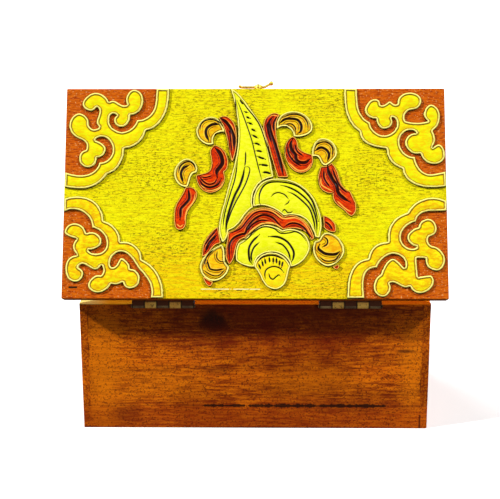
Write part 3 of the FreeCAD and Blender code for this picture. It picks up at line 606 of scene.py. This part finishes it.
class Relief:
    """One raised, carved and painted ornament node."""

    HEIGHT = 1.3 * MM

    def __init__(self, node, bead_mm, crown_mm, dip_mm, grow_mm=0.0, folds=False):
        self.node, self.grow = node, grow_mm * MM
        self.bead, self.crown, self.dip = bead_mm * MM, crown_mm * MM, dip_mm * MM
        self.strokes = [(self.drawn(p), w * MM, 1.0) for w, p in STROKES.get(node, ())]
        self.lights = [(self.drawn(p), w * MM, 1.0) for w, p in LIGHTS.get(node, ())]
        # Folded silk has a light line by each main fold, and a thin dark one on its other side
        for line, width, _ in list(self.strokes) if folds else ():
            glint, shadow = width / 2 + 0.4 * MM, width / 2 + 0.8 * MM
            self.lights.append((beside(line, glint, closed=False), 0.4 * MM, 0.55))
            self.strokes.append((beside(line, -shadow, closed=False), 0.35 * MM, 0.6))

    @staticmethod
    def drawn(points):
        return smooth_line([on_lid(*p) for p in points], 0.35 * MM)

    def surface(self, points, loop):
        """Height above the board and the numbers inner, ink and light at each point."""
        d = distance_to(points, loop)
        r = self.bead / 2
        bead = self.HEIGHT * np.sqrt(np.clip(1 - ((d - r) / r) ** 2, 0, 1))
        crown = self.dip + (self.crown - self.dip) * smooth((d - self.bead * 0.8) / (2.6 * MM))
        height = np.where(d < r, bead, np.maximum(bead, crown))
        ink, light = np.zeros(len(points)), np.zeros(len(points))
        for line, width, strength in self.strokes:
            near = distance_to(points, line, closed=False)
            half = width / 2 * self.taper(points, line)
            ink = np.maximum(ink, strength * np.clip(1.3 - near / half * 0.8, 0, 1))
            height -= np.minimum(0.35 * MM, 0.9 * half) * np.clip(1 - near / (half * 1.3), 0, 1)
        for line, width, strength in self.lights:
            near = distance_to(points, line, closed=False)
            half = width / 2 * self.taper(points, line)
            light = np.maximum(light, strength * np.clip(1.3 - near / half * 0.8, 0, 1))
        uneven = np.array([noise.noise(Vector((p[0] * 260, p[1] * 260, 0.3))) for p in points])
        height += uneven * 0.07 * MM * np.clip(d / r, 0, 1)
        height = np.clip(height, 0, self.HEIGHT)
        return height, d / MM, ink, light

    @staticmethod
    def taper(points, line):
        """Strokes are thinner at their ends: 0.35 at an end, 1 from a sixth of the way in."""
        nearest = np.empty(len(points))
        for start in range(0, len(points), 2000):
            some = points[start:start + 2000, None, :]
            nearest[start:start + 2000] = np.linalg.norm(some - line, axis=2).argmin(1)
        share = nearest / (len(line) - 1)
        return 0.35 + 0.65 * smooth(np.minimum(share, 1 - share) * 6)

    def points_for(self, loop):
        """Where the mesh has vertices inside one outline: rings by the edge, rows by each stroke
        and a loose grid in between."""
        fine = even(loop, 0.5 * MM)
        kept = []
        for share in (0.06, 0.22, 0.5, 0.78, 0.94, 1.1):
            offset = self.bead * share
            ring = beside(fine, offset)
            other = beside(fine, -offset)
            ring = ring if inside(ring, loop).mean() > inside(other, loop).mean() else other
            kept.append(ring[distance_to(ring, loop) > offset * 0.93])
        low, high = loop.min(0), loop.max(0)
        step = 0.75 * MM
        xs, ys = np.arange(low[0], high[0], step), np.arange(low[1], high[1], step)
        grid = np.stack(np.meshgrid(xs, ys), axis=2)
        grid[1::2, :, 0] += step / 2
        grid = grid.reshape(-1, 2)
        for line, width, _ in self.strokes + self.lights:
            for share in (0.0, 0.28, -0.28, 0.62, -0.62):
                kept.append(beside(line, width * share, closed=False))
        rows = np.vstack(kept)
        rows = rows[inside(rows, loop)]
        grid = grid[inside(grid, loop)]
        grid = grid[distance_to(grid, loop) > self.bead * 1.25]
        for line, width, _ in self.strokes + self.lights:
            grid = grid[distance_to(grid, line, closed=False) > width * 0.9]
        points = np.vstack([rows, grid])
        # Points that nearly meet would make slivers
        cell = np.round(points / (0.11 * MM)).astype(int)
        _, first = np.unique(cell, axis=0, return_index=True)
        return points[np.sort(first)]

    def build(self, material, body="lid"):
        verts, faces, numbers = [], [], []
        for loop in top_loops(self.node):
            rim = even(loop, 0.4 * MM)
            rim = rim if signed_area(rim) > 0 else rim[::-1]
            rim = even(beside(rim, -self.grow), 0.4 * MM)
            points = self.points_for(rim)
            every = [Vector(p) for p in rim] + [Vector(p) for p in points]
            ring = list(range(len(rim)))
            flat, _, tris, _, _, _ = geometry.delaunay_2d_cdt(every, [], [ring], 1, 1e-8)
            flat = np.array([tuple(v) for v in flat])
            height, inner, ink, light = self.surface(flat, rim)
            base = len(verts)
            foot = LID_TOP - 0.05 * MM
            for (x, y), h, d in zip(flat, height, inner):
                verts.append((x, y, foot if d < 1e-4 else LID_TOP + h))
            numbers += list(zip(inner, ink, light))
            faces += [[base + i for i in t] for t in tris]
        mesh = bpy.data.meshes.new(self.node)
        mesh.from_pydata([TO_REST @ Vector(v) for v in verts], [], faces)
        mesh.polygons.foreach_set("use_smooth", [True] * len(mesh.polygons))
        for column, name in enumerate(("inner", "ink", "light")):
            layer = mesh.attributes.new(name, "FLOAT", "POINT")
            layer.data.foreach_set("value", [n[column] for n in numbers])
        mesh.materials.append(material)
        piece = bpy.data.objects.new("carved_" + self.node, mesh)
        bpy.context.scene.collection.objects.link(piece)
        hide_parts(self.node)
        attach(piece, body)
        return piece


def signed_area(loop):
    x, y = loop[:, 0], loop[:, 1]
    return 0.5 * float((x * np.roll(y, -1) - np.roll(x, -1) * y).sum())


# Brush strokes cut into the ornament: {node: [(width in mm, points), ...]}
STROKES = {
    "conch_canal": [
        (0.5, [(-9.5, 103.5), (-6, 94.5), (-2, 83), (0, 75), (2, 67), (3.8, 60.5)]),
        (0.5, [(-7.9, 104), (-4.5, 99.5), (0, 94), (2.6, 89.8), (5, 83), (7, 76.5), (9, 68)]),
        (0.5, [(-10.4, 104), (-10, 97), (-9.5, 90)]),
        (0.75, [(-8, 103.5), (-7.2, 102.4), (-6.5, 101.3)]),
        (0.9, [(-5.4, 97.2), (-4.2, 96.8)]),
        (0.9, [(-4.6, 94.5), (-3, 93.8)]),
        (0.9, [(-3.4, 91.3), (-1.6, 90.6)]),
        (0.9, [(-1.9, 88), (0.1, 87)]),
        (0.9, [(-1.3, 84.8), (1.2, 83.4)]),
        (0.9, [(-0.2, 80.5), (1.3, 80.2), (2.5, 79.5)]),
        (0.9, [(0.8, 76.5), (2.2, 76.4), (3.6, 76)]),
        (0.9, [(1.6, 73.5), (3.2, 72.8), (5, 72.3)]),
        (1.0, [(3.2, 69.2), (5, 69), (6.8, 68.7)]),
        (1.0, [(4.2, 65.2), (6, 65.2), (8.2, 64.6)]),
        (0.6, [(-4.9, 76), (-4.9, 72), (-5.3, 68.5)]),
        (1.1, [(-5.4, 68), (-6.3, 63), (-8, 58), (-10.5, 53), (-13, 46), (-14.5, 40), (-15, 34)]),
        (0.6, [(-5.3, 68), (-3.4, 68), (-2.7, 66), (-4.5, 60), (-7, 55), (-10, 49.5), (-12.5, 44),
               (-14.3, 38)]),
        (0.6, [(-9, 72), (-10.4, 62), (-12.8, 54), (-15.6, 44), (-16.6, 36)]),
    ],
    "conch_whorl": [
        (0.8, [(3.1, 48.3), (2.3, 50), (2.5, 54), (4.5, 58), (8, 60), (14, 60.2), (20, 59), (25, 56.2),
               (29.5, 51), (31.6, 45.5), (33, 40)]),
        (0.8, [(13.5, 58.4), (17, 57.6), (22, 55.2), (27, 51), (30, 46.5), (32, 40), (32.2, 34)]),
        (0.7, [(17.3, 55), (20.5, 53.6), (25, 50), (28.5, 46), (30.6, 40), (31.4, 35)]),
        (0.55, [(8.5, 52.5), (10, 54), (12.5, 54.6), (15.5, 53.5), (17.5, 51.3)]),
        (0.5, [(16, 48.4), (17.4, 49.4), (17.9, 50.4)]),
        (0.5, [(14.2, 44.7), (15.5, 45.8), (17, 44.4), (18.3, 44.2), (19.7, 45)]),
    ],
    "silk_sash": [
        (1.0, [(-13, 20), (-13.2, 27), (-11, 31), (-7, 33), (-5, 33.5), (-3.5, 37), (0, 41), (4.5, 43),
               (9, 41.7), (12.3, 38.5), (14.5, 36.6)]),
        (0.8, [(15.5, 37), (18.5, 38.6), (22, 38.5), (25.5, 36.5), (28, 33), (29.6, 31)]),
        (0.7, [(-4, 34.8), (-1, 38.2), (3, 40.2), (7, 40)]),
        (0.7, [(-12, 33.6), (-7, 36.3), (-4, 40), (0, 44), (5, 45), (10, 43.6), (14, 40.4)]),
    ],
    "conch_crown": [
        (0.6, [(-7.5, 29.5), (-3.5, 31), (-1, 34), (3, 36.4), (6, 36.9), (10, 36), (13.5, 33.6),
               (18, 33.8), (21, 34.4), (24, 33), (26.6, 29.6)]),
        (0.95, [(2.3, 32.6), (-1, 29.5), (-3, 25.5), (-2.7, 20), (-1.5, 18)]),
        (0.75, [(2.3, 28.8), (-0.5, 26), (-1.8, 22), (-1.3, 18.6)]),
        (0.95, [(7.5, 31.9), (12.5, 31.5), (17, 29), (20, 24.5), (20, 21), (18.9, 18.7)]),
        (0.75, [(11, 28.9), (14.5, 27.5), (17.3, 24), (18.5, 20)]),
    ],
    "conch_spire": [
        (0.7, [(1.6, 18.8), (4, 21.2), (8.5, 22.2), (12, 21.6), (15, 20)]),
        (0.6, [(5.5, 10), (5.3, 13), (6.5, 15.3), (9.8, 16.5), (13, 15.6), (14.8, 13.7)]),
        (0.6, [(13.2, 11.5), (12.5, 12.2), (11, 11.2), (9.5, 10), (8, 10.8), (7.3, 13)]),
        *[(0.8, [(x, top), (x + lean, top - 2.6)]) for x, top, lean in (
            (2, 17.8, 1.1), (3.8, 19.2, 0.6), (5.2, 20.4, 0.5), (7.5, 21.2, 0.3), (9.6, 21, 0),
            (11.3, 20.8, 0), (13, 19.6, -0.3), (14.6, 19, -0.6))],
    ],
    "right_ribbon_curls": [
        (0.6, [(-28.9, 87.4), (-28.5, 90.5), (-26, 92.7), (-22, 93), (-18.5, 91.5), (-17.2, 89.4)]),
        (1.3, [(-24.3, 81.9), (-25.8, 85.5), (-25.3, 88.5), (-22.5, 90.5), (-19, 90.6)]),
        (0.5, [(-21.8, 82.5), (-21, 85), (-19.5, 86.2)]),
        (0.7, [(-40, 65), (-39.3, 68), (-37, 70.3), (-34, 70.8), (-31.9, 69.2), (-31.3, 67)]),
        (1.2, [(-37.6, 60.2), (-38.7, 64.5), (-37.3, 67.5), (-34.5, 69)]),
        (0.8, [(-24.6, 19.6), (-23.5, 16), (-22.5, 15), (-19.5, 14.6), (-15.8, 15.3)]),
        (0.6, [(-26.4, 17), (-24.4, 22.2), (-21.6, 25)]),
        (0.5, [(-19.4, 24.4), (-19.6, 21), (-18, 19.2), (-15.6, 18.8)]),
        (0.5, [(-26.4, 14.5), (-22, 12), (-18.4, 12), (-15.2, 15)]),
    ],
    "right_ribbon_folds": [
        (1.5, [(-18.3, 94), (-15, 91.5), (-12.4, 87.5), (-11, 83), (-11, 78)]),
        (0.6, [(-13.4, 88), (-12.8, 82), (-12.2, 76)]),
        (1.8, [(-20.8, 78), (-18.5, 75.5), (-17.3, 72.5), (-17.3, 69.5), (-19.8, 66), (-19.8, 63.5)]),
        (0.7, [(-29, 63), (-27, 60.5), (-24, 59), (-21, 59.8), (-19.8, 62)]),
        (0.8, [(-29.2, 61.5), (-27, 58.5), (-23.5, 57.3), (-19.5, 58.7), (-17.8, 61.5)]),
        (0.6, [(-28.2, 62.8), (-25.6, 62.6), (-22.5, 63.4)]),
        (1.2, [(-34.8, 56.4), (-34.3, 51.5), (-36.5, 48.5), (-38.5, 46), (-38.8, 41)]),
        (1.3, [(-25.4, 24.4), (-23.6, 28.4), (-20, 32.4)]),
        (0.7, [(-26.2, 27), (-23, 31.6), (-20, 35)]),
    ],
    "left_ribbon_curls": [
        (0.6, [(14.5, 94), (18, 95.6), (22, 95.8), (25.5, 94.4), (27.6, 91.2), (27.8, 88)]),
        (1.2, [(12.8, 91), (15.5, 93.2), (19, 93.6), (22.5, 92.8), (24.3, 90), (24, 87), (22.4, 85.7)]),
        (0.6, [(15.6, 90.6), (19, 90.8), (21, 89), (21.4, 86.8)]),
        (0.7, [(31.4, 77.6), (32.5, 80), (36, 81.3), (39, 80.3), (40.8, 77.5), (40.4, 73.5)]),
        (1.2, [(31.4, 76.6), (34.5, 78.3), (37.5, 77), (38.8, 74.5), (38, 71.3)]),
        (1.3, [(33.4, 27.5), (33, 25.8), (34.5, 24.3), (37, 23), (41.5, 22.8), (44, 24.2)]),
        (0.7, [(35.8, 31.8), (37.6, 30.2), (37.4, 28), (35.2, 26.6)]),
        (0.6, [(33.4, 21.5), (36.8, 19.4), (41.5, 20), (44.6, 24)]),
    ],
    "left_ribbon_folds": [
        (1.4, [(9.6, 95), (7.4, 91.5), (8.4, 86), (10, 81.5), (12, 75), (14, 67.5), (14.8, 63.8)]),
        (0.8, [(6.4, 91.5), (6.8, 87), (8.6, 81)]),
        (0.8, [(11.6, 94.8), (9.8, 91.2), (9.8, 87)]),
        (1.5, [(19.6, 82.6), (18.7, 80), (19.3, 77), (21.2, 74.5), (21.6, 72), (23.5, 70.5),
               (26.5, 70.5), (28.8, 72.3)]),
        (0.8, [(17.3, 79.5), (17.4, 75.6), (20, 71.4), (24, 68.6)]),
        (0.8, [(21, 80), (22, 76.5), (25, 74)]),
        (1.6, [(38, 69), (38.5, 65.5), (40.5, 61.5), (42.5, 58.5), (43.5, 54.5), (46, 52), (49, 50)]),
        (0.8, [(36, 66.4), (36.2, 62), (39, 57.6)]),
        (0.8, [(40.4, 67.6), (42, 63), (44.4, 58), (48, 54.6)]),
        (0.9, [(36.6, 39.6), (38.6, 38), (40.2, 35.6)]),
    ],
}

# Light rims brushed on the silk
LIGHTS = {
    "silk_sash": [
        (0.7, [(-13.9, 33), (-7.4, 38), (-3.9, 43), (2, 45.8), (8, 45.7), (14.6, 41.4), (21.4, 41.6),
               (26, 38.6), (30, 31.6)]),
        (0.7, [(-10.2, 22), (-8.4, 29), (-5, 31.9), (-1, 35.7), (4.5, 38.9), (10, 38.7), (14.4, 36.3)]),
    ],
    "right_ribbon_folds": [
        (0.7, [(-28.4, 58.7), (-24.5, 56), (-19.2, 56.9), (-16.6, 61)]),
        (0.5, [(-31, 54.6), (-32.2, 50), (-35.4, 45.6), (-36.6, 40)]),
        (0.6, [(-40.4, 38.2), (-38.8, 37), (-37.4, 38)]),
        (0.5, [(-16, 92.8), (-12.4, 90), (-10.6, 84.6)]),
    ],
    "left_ribbon_folds": [
        (0.7, [(17.6, 70.4), (22.6, 66.4), (27, 67), (29.4, 70)]),
        (0.6, [(34.4, 62.4), (35, 58.6), (40.6, 55.4)]),
        (0.6, [(42.8, 50.4), (47.2, 46.4), (50.2, 44.6)]),
        (0.5, [(6.2, 93.4), (8.8, 95.4), (12.2, 95)]),
    ],
}


def make_relief():
    yellow = relief_paint("yellow_relief", (0.84, 0.86, 0.004), (0.88, 0.62, 0.002), rim_wide=0.7)
    low_yellow = relief_paint("low_yellow_relief", (0.90, 0.80, 0.004), (0.84, 0.46, 0.002), rim_wide=0.7)
    shell = relief_paint("shell_relief", (0.80, 0.84, 0.004), (0.92, 0.90, 0.03),
                         rim=(0.16, 0.10, 0.001), rim_at=1.0)
    tip = relief_paint("shell_tip", (0.88, 0.84, 0.006), (0.96, 0.64, 0.006),
                       rim=(0.20, 0.07, 0.001), rim_at=1.0)
    red = relief_paint("red_relief", (0.82, 0.055, 0.001), (0.50, 0.020, 0.001),
                       edge=(1.0, 0.55, 0.08), rim=(0.09, 0.004, 0.001), rim_at=0.75,
                       deep=(0.022, 0.002, 0.001), glint=(1.0, 0.46, 0.06))
    orange = relief_paint("orange_relief", (0.90, 0.60, 0.006), (0.82, 0.36, 0.002),
                          rim=(0.08, 0.016, 0.001), rim_at=1.2, rim_wide=0.6, deep=(0.016, 0.004, 0.001),
                          glint=(1.0, 0.84, 0.16))
    # Node, material, then in millimetres the bead, crown, dip and growth, and whether it has folds
    jobs = [(f"conch_{s}", shell, 1.2, 1.2, 0.85, 0.42, False) for s in ("canal", "whorl", "crown")]
    jobs.append(("conch_spire", tip, 1.2, 1.2, 0.85, 0.3, False))
    jobs.append(("silk_sash", red, 0.9, 1.1, 0.8, 0.4, True))
    for side in ("right", "left"):
        jobs.append((f"corner_scroll_front_{side}", yellow, 1.5, 1.05, 0.75, 0.0, False))
        jobs.append((f"corner_scroll_back_{side}", low_yellow, 1.5, 1.05, 0.75, 0.0, False))
        jobs.append((f"{side}_ribbon_folds", red, 0.8, 1.1, 0.8, 0.4, True))
        jobs.append((f"{side}_ribbon_curls", orange, 1.1, 0.95, 0.7, 0.35, True))
    for node, material, bead, crown, dip, grow, folds in jobs:
        Relief(node, bead, crown, dip, grow, folds).build(material)


def finish_frame():
    """Materials of the CAD nodes that stay as they are."""
    long_wood = varnished_wood("wood_back", 0, 3.1, back=True)
    front_wood = varnished_wood("wood_front", 0, 7.7)
    end_wood = varnished_wood("wood_ends", 1, 5.3)
    lid = lid_paint()
    # Painted shade and light: the body leaves' brass is darker, as if shaded under the lid, and the lid
    # leaves' brass lighter, as if lit
    dull = old_brass("shaded_dull_brass", (0.42, 0.28, 0.12), (0.16, 0.10, 0.05), 1.0, metal=0.8, hinge="body")
    lit_brass = old_brass("lit_warm_brass", (1.0, 0.64, 0.13), (0.85, 0.42, 0.06), 2.0, metal=0.6, hinge="lid")
    bright = old_brass("bright_brass", (1.0, 0.82, 0.12), (0.80, 0.56, 0.06), 4.0, metal=0.75)
    screw = old_brass("screw_brass", (0.60, 0.42, 0.14), (0.25, 0.15, 0.05), 6.0)
    steel = old_brass("dark_steel", (0.22, 0.20, 0.18), (0.08, 0.07, 0.06), 8.0)
    materials = {
        "back_wall": long_wood, "front_wall": front_wood, "left_end_wall": end_wood,
        "right_end_wall": end_wood, "base_board": long_wood, "lid_board": lid,
        "corner_nails": steel, "base_nails": steel, "latch_post": bright, "latch_hook": bright,
        "keeper_pin": bright, "hinge_lid_screws": screw, "hinge_body_screws": screw,
    }
    for side in ("left", "right"):
        materials[f"{side}_hinge_body_leaf"] = dull
        materials[f"{side}_hinge_lid_leaf"] = lit_brass
        materials[f"{side}_hinge_pin"] = dull
    for node, material in materials.items():
        mesh = frame["nodes"][node].data
        mesh.materials.clear()
        mesh.materials.append(material)


make_camera()
make_studio()
make_floor()
finish_frame()
make_relief()
